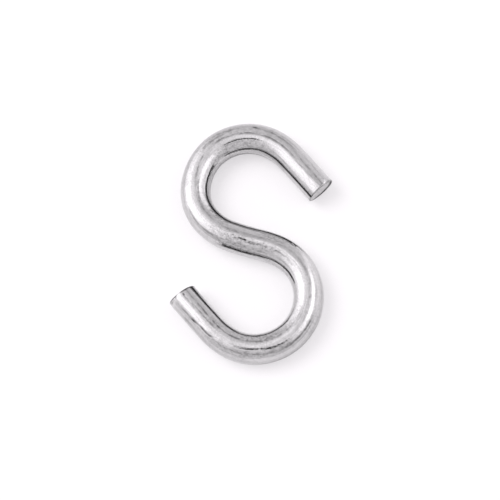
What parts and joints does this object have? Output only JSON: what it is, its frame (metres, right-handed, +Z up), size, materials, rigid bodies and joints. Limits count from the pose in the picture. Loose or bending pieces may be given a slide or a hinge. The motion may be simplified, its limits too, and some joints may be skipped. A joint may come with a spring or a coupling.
{
  "type": "s hook",
  "caption": "S-shaped hook bent from one round steel wire, with two open eyes that join rings, chain links, cords or rails.",
  "frame": {"origin": "centre of the hook's outline, on the surface it lies on", "axes": "+Y along the hook's length, from the lower eye to the upper one; +Z up, across the flat of the hook; +X to the side that the upper tail opens to"},
  "size_m": [0.0258, 0.038, 0.0046],
  "materials": {
    "plated_wire": "drawn steel wire with bright zinc plating, fine lines along the wire, soft sheen"
  },
  "bodies": {
    "root": {"hook": "plated_wire"}
  },
  "joints": []
}
